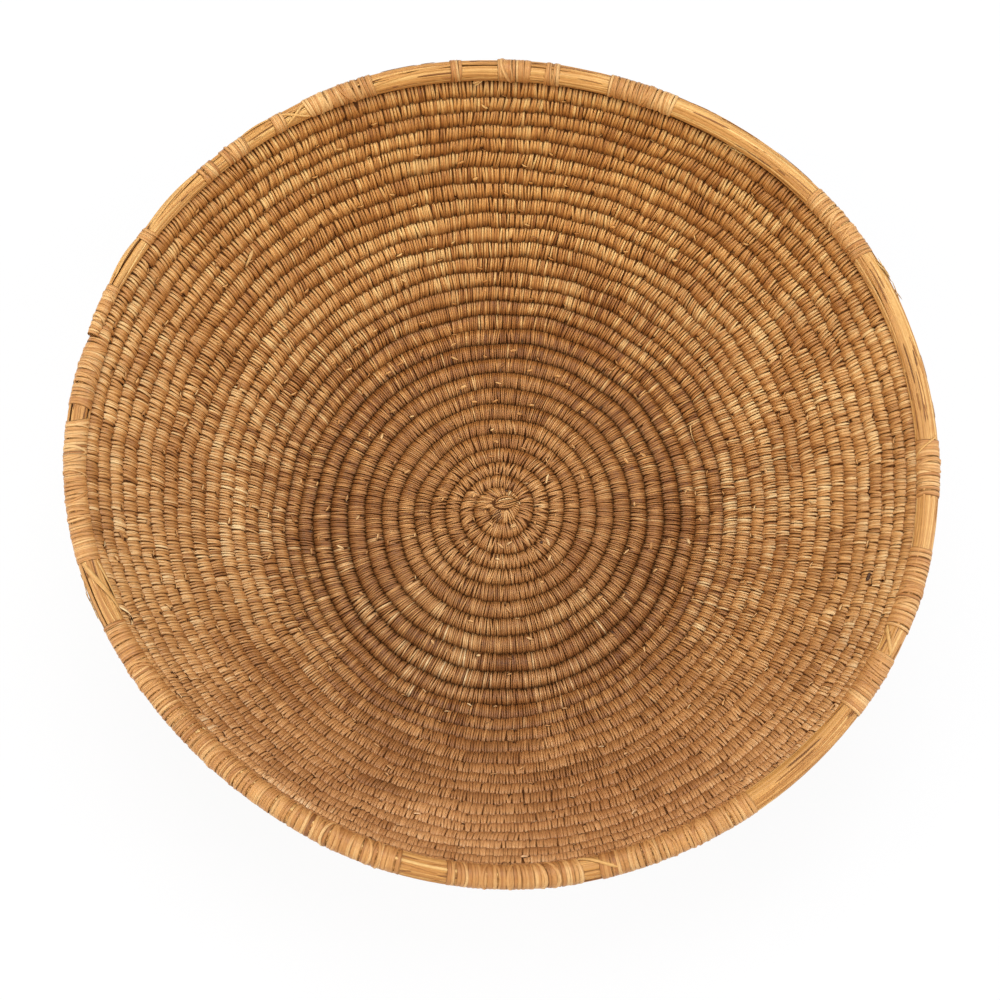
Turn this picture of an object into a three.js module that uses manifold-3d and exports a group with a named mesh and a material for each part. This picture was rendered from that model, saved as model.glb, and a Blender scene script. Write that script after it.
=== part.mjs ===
// A coiled basket bowl. A long grass bundle, wrapped and sewn with splint, winds outwards from a
// knot in the middle of the base, lap against lap, and climbs the wall. A thicker rim bundle makes
// the last lap, and wrapped bands tie it down. Millimetres and degrees, +Z up, standing on Z = 0
// with the middle of its box on the Z axis. Seen from above, the coil winds counter-clockwise.
import * as THREE from 'three';
import { mergeVertices } from 'three/addons/utils/BufferGeometryUtils.js';
import Module from 'manifold-3d';

// Bowl: the slope through the middle of the coils
const rimDiameter = 360; // across the outside of the rim, before the uneven shape of hand work
const bowlHeight = 107; // standing plane to the top of the rim, half way along its lap
const footRadius = 91; // where the wall leaves the base
const footRun = 5; // reach of the level start of the wall
const centreRise = 8.5; // height of the middle of the base over the foot
const centreRun = 32.5; // reach of the slope that comes down from the middle
const rimLean = 66; // slope of the wall at the rim, from level
const rimRun = 67; // reach of that slope down the wall
const footCut = 0.5; // depth of the flat that is worn under the foot

// Hand work pulls the rim out of round: how far, in one to five waves round it, and a crest's angle
const oneWave = 2.3;
const twoWaves = 2.8;
const threeWaves = 1.25;
const fourWaves = 0.5;
const fiveWaves = 0.6;
const rimWaves = [
  { waves: 1, reach: oneWave, crest: 91 },
  { waves: 2, reach: twoWaves, crest: -19 },
  { waves: 3, reach: threeWaves, crest: 40 },
  { waves: 4, reach: fourWaves, crest: 1 },
  { waves: 5, reach: fiveWaves, crest: -30 },
];
const waveGrowth = 2.5; // power at which the waves grow from the foot to the rim

// Coil
const coilPitch = 7.5; // lap to lap, along the slope of the bowl
const lapGap = 0.8; // clear between neighbouring laps
const coilThickness = 6.4; // through the wall
const startRadius = 9; // middle of the coil where it leaves the knot
const coilEndAngle = 163.5; // where the coil ends and the rim bundle starts

// Spliced lengths of the wall's coil, from the foot up
const wallLengths = ['lower_wall_coil', 'middle_wall_coil', 'upper_wall_coil'];

// Rim bundle, with a thin tail that ends over its own start
const rimBundle = 9.7; // thickness
const rimTail = 5.5; // thickness of the tail
const taperAngle = 62; // where the taper starts, counted back from the tail's end
const tailAngle = 18; // where the tail reaches its own thickness, counted back in the same way

// Bands round the rim, each from one angle to another
const bandThickness = 0.8;
const bandWrap = 150; // how far a band reaches round the bundle, each way from its top
const bands = [
  [-6.4, 1.4], [29.4, 40.4], [64.2, 74.1], [81.4, 83.6], [85.8, 90.3], [95.8, 97.2], [108.6, 118.6],
  [122.3, 123.9], [128.6, 132.2], [133.9, 136.4], [146.7, 148.5], [156.2, 162.8], [164.3, 173.5],
  [175.1, 195.4], [204.6, 223.6], [224.3, 240.6], [241.3, 256.6], [262.8, 280.1], [283.1, 304.3],
  [322.5, 331.1], [335, 346.4],
];

// Start knot
const knotRound = 1.2; // rounding of its edges

// Fits and facets
const seatGap = 0.3; // between pieces that touch
const lapSteps = 24;
const coilSides = 6;
const rimSides = 8;

const degree = Math.PI / 180;
const stepAngle = 360 / lapSteps;
const sideAngle = 360 / rimSides;
const coilWidth = coilPitch - lapGap;

const grass = { color: 0x9c6a38, roughness: 0.85, metalness: 0 };
const knotGrass = { color: 0x8a5b30, roughness: 0.85, metalness: 0 };
const rimGrass = { color: 0xc08c4c, roughness: 0.8, metalness: 0 };
const bandSplint = { color: 0xb47f45, roughness: 0.75, metalness: 0 };

const wasm = await Module();
wasm.setup();
const bowl = new THREE.Group();

function addPiece(name, geometry, look) {
  const material = new THREE.MeshStandardMaterial({ ...look, flatShading: true });
  const mesh = new THREE.Mesh(geometry, material);
  mesh.name = name;
  bowl.add(mesh);
}

// Slope of the bowl as radius and height over the foot's middle, by length along it from the middle
const standHeight = coilThickness / 2 - footCut;
const foot = new THREE.Vector2(footRadius, 0);
const rimMiddle = new THREE.Vector2(
  (rimDiameter - rimBundle) / 2,
  bowlHeight - rimBundle / 2 - standHeight,
);
const lean = new THREE.Vector2(Math.cos(rimLean * degree), Math.sin(rimLean * degree));
const baseSlope = new THREE.QuadraticBezierCurve(
  new THREE.Vector2(0, centreRise),
  new THREE.Vector2(centreRun, 0),
  foot,
);
const wallSlope = new THREE.CubicBezierCurve(
  foot,
  new THREE.Vector2(footRadius + footRun, 0),
  rimMiddle.clone().addScaledVector(lean, -rimRun),
  rimMiddle,
);
const brimSlope = new THREE.LineCurve(rimMiddle, rimMiddle.clone().addScaledVector(lean, 2 * rimBundle));
const slope = new THREE.CurvePath();
[baseSlope, wallSlope, brimSlope].forEach((curve) => slope.add(curve));
const slopeLength = slope.getLength();
const footLength = baseSlope.getLength();
const rimLength = footLength + wallSlope.getLength();

function bowlPoint(length, angle) {
  const point = slope.getPoint(length / slopeLength);
  const climb = Math.max(0, (length - footLength) / (rimLength - footLength)) ** waveGrowth;
  let radius = point.x;
  for (const { waves, reach, crest } of rimWaves) {
    radius += climb * reach * Math.cos(waves * (angle - crest) * degree);
  }
  const turn = angle * degree;
  return new THREE.Vector3(radius * Math.cos(turn), radius * Math.sin(turn), point.y + standHeight);
}

// Middle of a section, with its directions up the slope and into the bowl
function bowlFrame(length, angle) {
  const near = coilPitch / 8;
  const middle = bowlPoint(length, angle);
  const up = bowlPoint(length + near, angle).sub(bowlPoint(length - near, angle)).normalize();
  const along = new THREE.Vector3(-Math.sin(angle * degree), Math.cos(angle * degree), 0);
  const inward = up.clone().cross(along);
  return { middle, up, inward };
}

function placeSection({ middle, up, inward }, section) {
  return section.map(({ x, y }) => middle.clone().addScaledVector(up, x).addScaledVector(inward, y));
}

// Laps are counted in steps from the corner after the coil's end, which lies half way along a step
const coilEnd = -0.5;
const rimEnd = coilEnd + lapSteps;
const rimSeat = rimLength - rimBundle / 2 - lapGap / 2 - coilPitch / 2;

function stepTurn(step) {
  return coilEndAngle + (step - coilEnd) * stepAngle;
}

function seamLength(step) {
  return rimSeat + ((step - coilEnd) * coilPitch) / lapSteps;
}

function stepAtLength(length) {
  return coilEnd + ((length - rimSeat) * lapSteps) / coilPitch;
}

function coilLength(step) {
  return seamLength(step) + coilPitch / 2;
}

// A section between two corners lies on the straight step that joins them
function sectionAt(cornerSection, step) {
  const corner = Math.floor(step);
  const first = cornerSection(corner);
  const next = cornerSection(corner + 1);
  return first.map((point, index) => point.clone().lerp(next[index], step - corner));
}

function sectionsFrom(cornerSection, start, end) {
  const sections = [sectionAt(cornerSection, start)];
  for (let step = Math.floor(start) + 1; step < end; step += 1) {
    sections.push(cornerSection(step));
  }
  sections.push(sectionAt(cornerSection, end));
  return sections;
}

// Half a seat's gap, as a share of a step at a given length up the slope
function halfSeat(length) {
  const radius = slope.getPoint(length / slopeLength).x;
  return seatGap / 2 / (radius * stepAngle * degree);
}

// Closed body through a row of sections, capped at both ends
function bodyThrough(sections, outline) {
  const sides = outline.length;
  const positions = sections.flat().flatMap((point) => point.toArray());
  const index = [];
  for (let row = 0; row < sections.length - 1; row += 1) {
    for (let side = 0; side < sides; side += 1) {
      const a = row * sides + side;
      const b = row * sides + ((side + 1) % sides);
      index.push(a, a + sides, b + sides, a, b + sides, b);
    }
  }
  const last = (sections.length - 1) * sides;
  for (const [a, b, c] of THREE.ShapeUtils.triangulateShape(outline, [])) {
    index.push(a, b, c);
    index.push(last + a, last + c, last + b);
  }
  const geometry = new THREE.BufferGeometry();
  geometry.setAttribute('position', new THREE.Float32BufferAttribute(positions, 3));
  geometry.setIndex(index);
  return geometry;
}

function toSolid(geometry) {
  const bare = geometry.clone();
  bare.deleteAttribute('normal');
  bare.deleteAttribute('uv');
  const merged = mergeVertices(bare);
  const vertProperties = new Float32Array(merged.attributes.position.array);
  const triVerts = new Uint32Array(merged.index.array);
  return new wasm.Manifold(new wasm.Mesh({ numProp: 3, vertProperties, triVerts }));
}

function toGeometry(solid) {
  const { vertProperties, triVerts } = solid.getMesh();
  const geometry = new THREE.BufferGeometry();
  geometry.setAttribute('position', new THREE.BufferAttribute(vertProperties, 3));
  geometry.setIndex(new THREE.BufferAttribute(triVerts, 1));
  return geometry;
}

// Where a coil reaches below the standing plane it is cut flat
function cutFlat(geometry) {
  geometry.computeBoundingBox();
  if (geometry.boundingBox.min.z >= 0) {
    return geometry;
  }
  const ground = new THREE.BoxGeometry(2 * rimDiameter, 2 * rimDiameter, bowlHeight);
  ground.translate(0, 0, -bowlHeight / 2);
  return toGeometry(toSolid(geometry).subtract(toSolid(ground)));
}

// Coil section: a hexagon with corners towards the neighbouring laps
const coilOutline = [];
for (let side = 0; side < coilSides; side += 1) {
  const turn = (side * 2 * Math.PI) / coilSides;
  const flat = Math.sin(Math.PI / 3);
  const x = (coilWidth / 2) * Math.cos(turn);
  const y = ((coilThickness / 2) * Math.sin(turn)) / flat;
  coilOutline.push(new THREE.Vector2(x, y));
}

function coilSection(step) {
  return placeSection(bowlFrame(coilLength(step), stepTurn(step)), coilOutline);
}

// Least gap between a coil's laps, measured on the corners of its sections and half way between
function leastGap(start, end) {
  let least = Infinity;
  for (let step = start; step <= end - lapSteps; step += 0.5) {
    const lap = sectionAt(coilSection, step);
    for (let near = -0.5; near <= 0.5; near += 0.5) {
      const nextLap = sectionAt(coilSection, step + lapSteps + near);
      for (const point of lap) {
        least = Math.min(least, ...nextLap.map((other) => other.distanceTo(point)));
      }
    }
  }
  return least;
}

// Start of the coil: a straight run, one coil width long, that leaves the knot squarely
const startStep = Math.ceil(stepAtLength(startRadius - coilPitch / 2));
const startReach = bowlPoint(coilLength(startStep), stepTurn(startStep)).setZ(0).length();
const runAngle = (2 * Math.asin(coilWidth / (2 * startReach))) / degree;
const runStep = startStep + Math.ceil(runAngle / stepAngle);

function startFrame() {
  const { middle, inward } = bowlFrame(coilLength(startStep), stepTurn(startStep));
  const runEnd = bowlPoint(coilLength(runStep), stepTurn(runStep));
  const along = runEnd.sub(middle).normalize();
  const up = along.clone().cross(inward).normalize();
  return { middle, up, inward: up.clone().cross(along), along };
}

// Start knot: it fills the first lap, and its flat end meets the start of the coil
function makeKnot() {
  const { middle, up, along } = startFrame();
  const reach = coilWidth / 2 + lapGap;
  const back = middle.clone().addScaledVector(along, -seatGap);
  const outline = [back.clone().addScaledVector(up, -reach)];
  for (let step = runStep; step < startStep + lapSteps; step += 1) {
    const lap = bowlFrame(coilLength(step), stepTurn(step));
    outline.push(lap.middle.addScaledVector(lap.up, -reach));
  }
  outline.push(back.clone().addScaledVector(up, coilWidth / 2));
  const shape = new THREE.Shape(outline.map(({ x, y }) => new THREE.Vector2(x, y)));
  const geometry = new THREE.ExtrudeGeometry(shape, {
    depth: coilThickness - 2 * knotRound,
    bevelThickness: knotRound,
    bevelSize: knotRound,
    bevelOffset: -knotRound,
    bevelSegments: 2,
  });
  return geometry.translate(0, 0, middle.z - coilThickness / 2 + knotRound);
}

// Base coil from the knot to the foot, then the wall's coil in spliced lengths that meet end to end
const baseEnd = Math.round(stepAtLength(footLength)) + coilEnd;
const wallSteps = Math.round((coilEnd - baseEnd) / wallLengths.length);

function addCoil(name, start, end) {
  const startTrim = start === startStep ? 0 : halfSeat(coilLength(start));
  const endTrim = halfSeat(coilLength(end));
  let sections = sectionsFrom(coilSection, start + startTrim, end - endTrim);
  if (start === startStep) {
    const rest = sections.slice(runStep - startStep);
    sections = [placeSection(startFrame(), coilOutline), ...rest];
  }
  addPiece(name, cutFlat(bodyThrough(sections, coilOutline)), grass);
  const gap = leastGap(Math.ceil(start), Math.floor(end));
  console.log(`${name}: least gap between its laps ${gap.toFixed(2)} mm`);
}

// Rim bundle: one lap on the coil's last lap, thinner along its tail
function rimRadius(step) {
  const left = (rimEnd - step) * stepAngle;
  const share = THREE.MathUtils.clamp((left - tailAngle) / (taperAngle - tailAngle), 0, 1);
  return THREE.MathUtils.lerp(rimTail, rimBundle, share) / 2;
}

function rimFrame(step) {
  return bowlFrame(seamLength(step) + lapGap / 2 + rimRadius(step), stepTurn(step));
}

// Point of a section round the bundle, at an angle from its top, grown by a clear distance
function rimCorner(radius, grow, angle) {
  const half = sideAngle / 2;
  const past = THREE.MathUtils.euclideanModulo(angle, sideAngle) - half;
  const flat = radius * Math.cos(half * degree) + grow;
  const reach = flat / Math.cos(past * degree);
  return new THREE.Vector2(reach * Math.cos(angle * degree), reach * Math.sin(angle * degree));
}

function rimOutline(step) {
  const corners = Array.from({ length: rimSides }, (_, side) => side * sideAngle);
  return corners.map((angle) => rimCorner(rimRadius(step), 0, angle));
}

function rimSection(step) {
  return placeSection(rimFrame(step), rimOutline(step));
}

function makeRim() {
  const trim = halfSeat(rimLength);
  return bodyThrough(sectionsFrom(rimSection, coilEnd + trim, rimEnd - trim), rimOutline(0));
}

// Band: a wrapped strip over the bundle, open towards the coil below
function bandOutline(step) {
  const corners = [-bandWrap];
  for (let angle = -sideAngle * Math.floor(bandWrap / sideAngle); angle < bandWrap; angle += sideAngle) {
    corners.push(angle);
  }
  corners.push(bandWrap);
  const radius = rimRadius(step);
  const outside = corners.map((angle) => rimCorner(radius, seatGap + bandThickness, angle));
  const inside = corners.map((angle) => rimCorner(radius, seatGap, angle)).reverse();
  return [...outside, ...inside];
}

function bandSection(step) {
  return placeSection(rimFrame(step), bandOutline(step));
}

function makeBand([from, to]) {
  const steps = [from, to].map((angle) => {
    const turned = THREE.MathUtils.euclideanModulo(angle - coilEndAngle, 360);
    return coilEnd + turned / stepAngle;
  });
  return bodyThrough(sectionsFrom(bandSection, ...steps), bandOutline(0));
}

addPiece('start_knot', makeKnot(), knotGrass);
addCoil('base_coil', startStep, baseEnd);
wallLengths.forEach((name, index) => {
  const start = baseEnd + index * wallSteps;
  const end = index === wallLengths.length - 1 ? coilEnd : start + wallSteps;
  addCoil(name, start, end);
});
addPiece('rim_bundle', makeRim(), rimGrass);
bands.forEach((band, index) => {
  addPiece(`rim_band_${String(index + 1).padStart(2, '0')}`, makeBand(band), bandSplint);
});

// The uneven rim moves the middle of the box off the coil's own middle
const box = new THREE.Box3().setFromObject(bowl);
const boxMiddle = box.getCenter(new THREE.Vector3());
bowl.position.set(-boxMiddle.x, -boxMiddle.y, 0);

export default bowl;
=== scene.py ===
import math
import bmesh
import bpy
import numpy as np
from mathutils import Matrix


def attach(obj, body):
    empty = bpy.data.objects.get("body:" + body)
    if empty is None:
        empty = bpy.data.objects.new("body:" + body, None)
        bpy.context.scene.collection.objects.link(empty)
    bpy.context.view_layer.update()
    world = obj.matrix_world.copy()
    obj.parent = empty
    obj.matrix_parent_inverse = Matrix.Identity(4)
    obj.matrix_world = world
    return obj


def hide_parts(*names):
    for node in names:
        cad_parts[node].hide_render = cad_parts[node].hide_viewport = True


# A coiled basket bowl: grass coil sewn with splint stitches, and a rim of loose grass under wrapped bands.
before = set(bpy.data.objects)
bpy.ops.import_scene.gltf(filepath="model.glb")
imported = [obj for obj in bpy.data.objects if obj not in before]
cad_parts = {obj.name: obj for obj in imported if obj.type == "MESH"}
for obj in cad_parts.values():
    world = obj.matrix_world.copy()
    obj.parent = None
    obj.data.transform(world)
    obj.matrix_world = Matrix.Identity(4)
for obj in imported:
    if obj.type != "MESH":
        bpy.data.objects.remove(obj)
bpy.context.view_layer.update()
mm = 0.001
scene = bpy.context.scene
scene.view_settings.view_transform = "Standard"
print("frame loaded:", len(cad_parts), "solids")

bowl = {                                     # slope through the middle of the coils, as in the frame
    "rimDiameter": 360 * mm,
    "height": 107 * mm,
    "footRadius": 91 * mm,
    "footRun": 5 * mm,
    "centreRise": 8.5 * mm,
    "centreRun": 32.5 * mm,
    "rimLean": 66,                           # degrees
    "rimRun": 67 * mm,
    "standHeight": 2.7 * mm,                 # middle of the coil over the table, at the foot
    "axis": (0.1717 * mm, -1.8004 * mm),     # the coil's own middle
    "waves": (                               # how many round the rim, their reach, degrees of a crest
        (1, 2.3 * mm, 91), (2, 2.8 * mm, -19), (3, 1.25 * mm, 40), (4, 0.5 * mm, 1), (5, 0.6 * mm, -30),
    ),
    "waveGrowth": 2.5,                       # power at which they grow from the foot to the rim
    "slopeSteps": 400,                       # points on each stretch of the slope
}
coil = {
    "pitch": 7.5 * mm,
    "halfThick": 3.0 * mm,                   # to the valleys between the stitches
    "square": 2.25,                          # 2 is an ellipse, more is fuller
    "widen": 0.6,                            # share of a lift that goes along the slope
    "endAngle": 163.5,                       # degrees, where the rim bundle takes over
    "startLength": 9 * mm,
    "rimGap": 0.4 * mm,
}
rim = {
    "bundle": 9.7 * mm,
    "tail": 5.5 * mm,
    "taperAngle": 62,                        # degrees before the end of the lap
    "tailAngle": 18,
    "left": (0, 2, 7, 12, 40, 70),           # degrees to the tail's end, and how much slimmer the grass is
    "slim": (1.0 * mm, 0.75 * mm, 0.3 * mm, -0.3 * mm, 0.2 * mm, 0.55 * mm),
    "swell": 0.08 * mm,
    "swellRate": 83,                         # radians a lap
    "tuck": ((-0.006, 0.005), (0.7, 1)),     # laps in which it starts round the coil's end, and its share
    "laidAngle": 14,                         # degrees of the tail that lie down on the coil
    "laidPower": 1.5,
    "tailDrop": 0.8 * mm,
    "tailIn": 0.5 * mm,
    "strandReach": 4 * mm,                   # from the middle of the bundle to its strands
}


# the bowl's slope

def ramp(value, first, last):                # 0 at the first, 1 at the last
    return np.clip((value - first) / (last - first), 0, 1)


def bezier(corners, t):
    rows = [np.tile(np.array(corner, float), (len(t), 1)) for corner in corners]
    while len(rows) > 1:
        rows = [a + (b - a) * t[:, None] for a, b in zip(rows, rows[1:])]
    return rows[0]


def slopeLine():
    t = np.linspace(0, 1, bowl["slopeSteps"])
    foot = (bowl["footRadius"], 0)
    top = np.array((
        (bowl["rimDiameter"] - rim["bundle"]) / 2,
        bowl["height"] - rim["bundle"] / 2 - bowl["standHeight"],
    ))
    lean = np.array((math.cos(math.radians(bowl["rimLean"])), math.sin(math.radians(bowl["rimLean"]))))
    base = bezier([(0, bowl["centreRise"]), (bowl["centreRun"], 0), foot], t)
    wall = bezier([foot, (foot[0] + bowl["footRun"], 0), top - lean * bowl["rimRun"], top], t)
    brim = bezier([top, top + lean * 2 * rim["bundle"]], t)
    line = np.concatenate((base, wall[1:], brim[1:]))
    length = np.append(0, np.cumsum(np.hypot(*np.diff(line, axis=0).T)))
    return line[:, 0], line[:, 1], length, length[len(t) - 1], length[2 * len(t) - 2]


slopeRadius, slopeHeight, slopeLength, footLength, rimLength = slopeLine()
rimSeat = rimLength - rim["bundle"] / 2 - coil["rimGap"] - coil["pitch"] / 2
rimRound = math.pi * bowl["rimDiameter"]


def bowlPoint(length, turn):
    climb = np.clip((length - footLength) / (rimLength - footLength), 0, None) ** bowl["waveGrowth"]
    radius = np.interp(length, slopeLength, slopeRadius)
    for waves, reach, crest in bowl["waves"]:
        radius = radius + climb * reach * np.cos(np.radians(waves * (turn - crest)))
    angle = np.radians(turn)
    x = bowl["axis"][0] + radius * np.cos(angle)
    y = bowl["axis"][1] + radius * np.sin(angle)
    return np.stack((x, y, np.interp(length, slopeLength, slopeHeight) + bowl["standHeight"]), -1)


def bowlFrame(length, turn):                 # a place on the slope, with up the slope and into the bowl
    beside = coil["pitch"] / 8
    middle = bowlPoint(length, turn)
    up = bowlPoint(length + beside, turn) - bowlPoint(length - beside, turn)
    up /= np.linalg.norm(up, axis=-1, keepdims=True)
    angle = np.radians(turn)
    along = np.stack((-np.sin(angle), np.cos(angle), 0 * angle), -1)
    return middle, up, np.cross(up, along)


# laps are counted back from the coil's end: lap 0 is there, lap 1 is the end of the rim

def seamLength(lap):
    return rimSeat + coil["pitch"] * lap


def lapAtSeam(length):
    return (length - rimSeat) / coil["pitch"]


def lapTurn(lap):
    return coil["endAngle"] + 360 * lap


def lapRadius(lap):
    return np.interp(seamLength(lap) + coil["pitch"] / 2, slopeLength, slopeRadius)


sway = {
    "count": 10,
    "waves": (26 * mm, 70 * mm),
    "reach": 0.14 * mm,
    "inShare": 0.5,                          # of it, in and out of the wall
    "easeLaps": 4,                           # under the rim, where it dies away
    "seed": 5,
}


def handSway(length, turn, shift):           # uneven hand work, the same for neighbouring laps
    rng = np.random.default_rng(sway["seed"] + shift)
    x = length * np.cos(np.radians(turn))
    y = length * np.sin(np.radians(turn))
    total = 0 * x
    for _ in range(sway["count"]):
        heading, phase = rng.uniform(0, 2 * math.pi, 2)
        wave = rng.uniform(*sway["waves"])
        total += np.sin((x * math.cos(heading) + y * math.sin(heading)) * 2 * math.pi / wave + phase)
    top = rimSeat + coil["pitch"]
    return total * sway["reach"] * ramp(length, top, top - sway["easeLaps"] * coil["pitch"])


settle = {                                   # mm the laps are pulled up the slope by uneven sewing
    "reach": (8, 22, 35, 50, 65, 80, 95, 125, 155, 185, 215, 226),  # mm along the slope
    "even": (0, -1.0, -1.25, -1.05, 0.05, 1.1, 1.4, 1.4, 1.3, 2.2, 1.4, 0),
    "right": (0, 0.4, 0.4, 0.35, 0.2, 0.4, 0.2, 0.5, 0.2, 0, 0, 0),
    "far": (0, -0.6, -0.65, -0.7, -1.05, -1.3, -1.4, -2.0, -1.75, -1.7, -1.5, 0),
    "twist": (0, 0.1, 0.6, 0.45, 0.55, 0.65, 0.7, 0.2, 0.3, -0.4, 0, 0),
}


def settled(length, turn):
    angle = np.radians(turn)
    parts = {"even": 1, "right": np.cos(angle), "far": np.sin(angle), "twist": np.sin(2 * angle)}
    pulls = [np.interp(length / mm, settle["reach"], settle[key]) * part for key, part in parts.items()]
    return sum(pulls) * mm


def onCoil(lap, up, inward):
    length = seamLength(lap) + coil["pitch"] / 2
    turn = lapTurn(lap)
    middle, upward, into = bowlFrame(length, turn)
    up = up + handSway(length + up, turn, 0) + settled(length + up, turn)
    inward = inward + sway["inShare"] * handSway(length + up, turn, 1)
    return middle + upward * up[:, None] + into * inward[:, None]


def rimRadius(lap):                          # the rim's solid
    share = ramp((1 - lap) * 360, rim["tailAngle"], rim["taperAngle"])
    return (rim["tail"] + (rim["bundle"] - rim["tail"]) * share) / 2


def grassRadius(lap):                        # the loose grass, slimmer than its solid at the end of the tail
    radius = rimRadius(lap) - np.interp((1 - lap) * 360, rim["left"], rim["slim"])
    radius = radius + rim["swell"] * np.sin(lap * rim["swellRate"])
    return radius * np.interp(lap, *rim["tuck"])


def onRim(lap, reach, alpha):                # alpha 0 faces into the bowl, a quarter turn on is up
    laid = np.interp((1 - lap) * 360, (0, rim["laidAngle"]), (1, 0)) ** rim["laidPower"]
    length = seamLength(lap) + coil["rimGap"] + rimRadius(lap) - rim["tailDrop"] * laid
    middle, upward, into = bowlFrame(length, lapTurn(lap))
    inward = reach * np.cos(alpha) + rim["tailIn"] * laid
    return middle + upward * (reach * np.sin(alpha))[:, None] + into * inward[:, None]


def ovalSection(alpha, halfWidth, halfThick, square):
    c, s = np.cos(alpha), np.sin(alpha)
    up = halfWidth * np.sign(s) * np.abs(s) ** (2 / square)
    inward = halfThick * np.sign(c) * np.abs(c) ** (2 / square)
    return up, inward


def coilSection(alpha, lift):                # lift is over the valleys between the stitches
    halfWidth = coil["pitch"] / 2 + lift * coil["widen"]
    return ovalSection(alpha, halfWidth, coil["halfThick"] + lift, coil["square"])


# shader nodes

class Wire:                                  # a socket that shader maths can be written with
    def __init__(self, tree, socket=None):
        self.tree = tree
        self.socket = socket

    def node(self, kind, settings=None, sockets=None, take=0):
        made = self.tree.nodes.new(kind)
        for key, value in (settings or {}).items():
            if key == "stops":
                fillRamp(made.color_ramp, value)
            else:
                setattr(made, key, value)
        for key, value in (sockets or {}).items():
            if isinstance(value, Wire):
                self.tree.links.new(value.socket, made.inputs[key])
            else:
                made.inputs[key].default_value = value
        return Wire(self.tree, made.outputs[take] if made.outputs else None)

    def also(self, take):                    # another socket of the same node
        return Wire(self.tree, self.socket.node.outputs[take])

    def maths(self, operation, first, second):
        return self.node("ShaderNodeMath", {"operation": operation}, {0: first, 1: second})

    def __add__(self, other):
        return self.maths("ADD", self, other)

    def __sub__(self, other):
        return self.maths("SUBTRACT", self, other)

    def __rsub__(self, other):
        return self.maths("SUBTRACT", other, self)

    def __mul__(self, other):
        return self.maths("MULTIPLY", self, other)

    def __pow__(self, other):
        return self.maths("POWER", self, other)

    __radd__ = __add__
    __rmul__ = __mul__


def fillRamp(colours, stops):
    while len(colours.elements) < len(stops):
        colours.elements.new(0.5)
    for element, (place, colour) in zip(colours.elements, stops):
        element.position = place
        element.color = colour


def linear(red, green, blue):                # a colour as read off a screen, 0 to 255
    shares = [value / 255 for value in (red, green, blue)]
    return tuple(c / 12.92 if c < 0.04045 else ((c + 0.055) / 1.055) ** 2.4 for c in shares) + (1,)


def mixColour(factor, first, second, blend="MIX"):
    settings = {"data_type": "RGBA", "blend_type": blend}
    return factor.node("ShaderNodeMix", settings, {0: factor, 6: first, 7: second}, take=2)


def spread(value, span, low=0.0):            # low to 1, as the value crosses the span
    sockets = {"Value": value, "From Min": span[0], "From Max": span[1], "To Min": low, "To Max": 1.0}
    return value.node("ShaderNodeMapRange", None, sockets)


def noise(desk, scale, detail):
    place = desk.node("ShaderNodeTexCoord", take="Object")
    sockets = {"Vector": place, "Scale": scale, "Detail": detail}
    return desk.node("ShaderNodeTexNoise", None, sockets, take="Fac")


def newFinish(name):
    material = bpy.data.materials.new(name)
    material.use_nodes = True
    tree = material.node_tree
    tree.nodes.clear()
    return material, Wire(tree)


def closeFinish(desk, look, colour, rough, grain):
    strength, depth = look["bump"]
    bump = desk.node("ShaderNodeBump", None, {"Height": grain, "Strength": strength, "Distance": depth})
    shader = desk.node("ShaderNodeBsdfPrincipled", None, {
        "Base Color": colour, "Roughness": rough, "Specular IOR Level": look["shine"], "Normal": bump,
    })
    desk.node("ShaderNodeOutputMaterial", None, {"Surface": shader})


splint = {
    "stops": (
        (0.0, linear(106, 64, 29)),
        (0.35, linear(169, 115, 61)),
        (0.7, linear(221, 164, 98)),
        (1.0, linear(252, 219, 160)),
    ),
    "fibre": 500,                            # scale of the fine grain
    "fibreShare": 0.25,
    "streakShare": 1.3,                      # lines along each strip
    "patch": linear(146, 88, 40),            # warmer, aged places
    "patchScale": 38,
    "patchSpan": (0.45, 0.7),
    "patchShare": 0.35,
    "nearSpan": (-0.15, -0.06),              # y, from the near side to the middle
    "nearStreak": 0.4,                       # the near side is smoother
    "nearSheen": (1, 0.98, 1.14, 1),              # and gets a painted sheen, paler and bluer, as of white surroundings at a grazing angle
    "nearSheenShare": 1.6,
    "farSpan": (-0.02, 0.14),                # y, from the middle to the far side
    "farShade": (0.98, 0.86, 0.61, 1),           # painted shade and bounce light: the far side darker and more orange
    "gap": linear(68, 39, 16),               # painted shade in the valleys between stitches
    "gapPower": 1.2,
    "gapShare": 0.92,
    # painted shade in creases between laps, on a lap's lower half and in holes, orange-brown to dark brown;
    # it also colours the stained and shaded dark strands
    "crease": ((0.0, linear(174, 106, 44)), (0.5, linear(130, 76, 30)), (1.0, linear(60, 34, 14))),
    "creaseShare": 0.85,
    "rough": 0.46,
    "roughShare": 0.3,                       # what the grain changes of it
    "shine": 0.32,
    "bump": (0.3, 0.2 * mm),                 # strength and depth
}


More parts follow.
